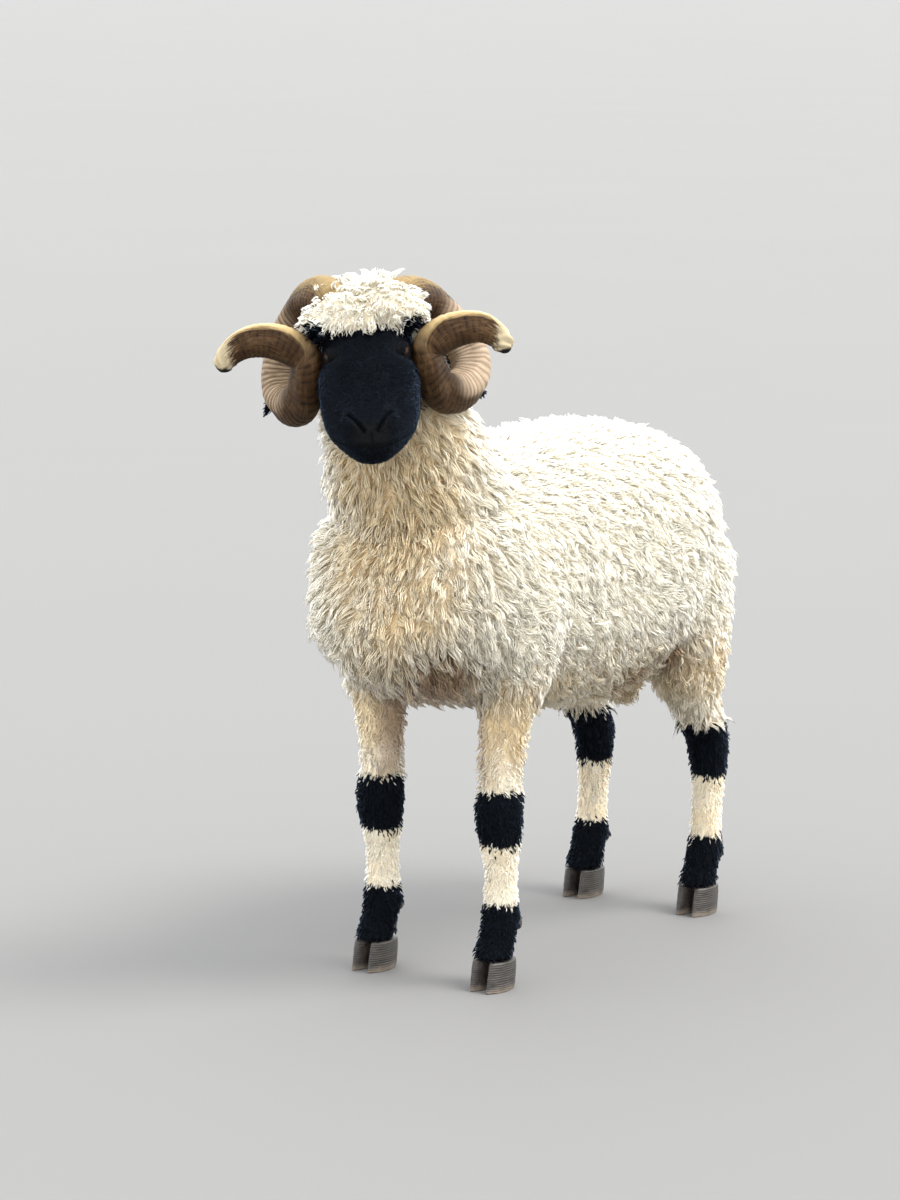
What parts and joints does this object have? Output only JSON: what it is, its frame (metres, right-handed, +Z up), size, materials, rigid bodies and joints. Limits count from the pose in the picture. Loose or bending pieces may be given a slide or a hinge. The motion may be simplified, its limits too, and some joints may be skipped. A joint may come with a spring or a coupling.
{
  "type": "sheep model",
  "caption": "Life-size standing horned ram with short curly fleece, dark face, ears, knees and hocks, spiral horns and its head turned to its left.",
  "frame": {"origin": "on the floor, at the centre of the base of the model's box", "axes": "the trunk looks along -Y, the ram's left side is +X, and +Z is up"},
  "size_m": [0.4096, 1.0124, 1.048],
  "materials": {
    "fleece": "short curly wool, creamy white",
    "stained_fleece": "short curly wool, cream with sandy staining",
    "black_wool": "short dense black hair, slight sheen",
    "horn": "ringed keratin, satin, paler along the keel and at the tips",
    "hoof": "dark keratin, satin",
    "eye": "wet gloss, amber iris with a level slit pupil"
  },
  "bodies": {
    "root": {"trunk": "fleece", "neck": "stained_fleece", "head": "black_wool", "topknot": "fleece", "tail": "fleece", "pouch": "fleece", "horn_left": "horn", "ear_left": "black_wool", "eye_left": "eye", "foreleg_left_arm": "fleece", "foreleg_left_knee": "black_wool", "foreleg_left_shank": "fleece", "foreleg_left_pastern": "black_wool", "hindleg_left_thigh": "fleece", "hindleg_left_hock": "black_wool", "hindleg_left_shank": "fleece", "hindleg_left_pastern": "black_wool", "forehoof_left_inner": "hoof", "forehoof_left_outer": "hoof", "hindhoof_left_inner": "hoof", "hindhoof_left_outer": "hoof", "horn_right": "horn", "ear_right": "black_wool", "eye_right": "eye", "foreleg_right_arm": "fleece", "foreleg_right_knee": "black_wool", "foreleg_right_shank": "fleece", "foreleg_right_pastern": "black_wool", "hindleg_right_thigh": "fleece", "hindleg_right_hock": "black_wool", "hindleg_right_shank": "fleece", "hindleg_right_pastern": "black_wool", "forehoof_right_inner": "hoof", "forehoof_right_outer": "hoof", "hindhoof_right_inner": "hoof", "hindhoof_right_outer": "hoof"}
  },
  "joints": []
}
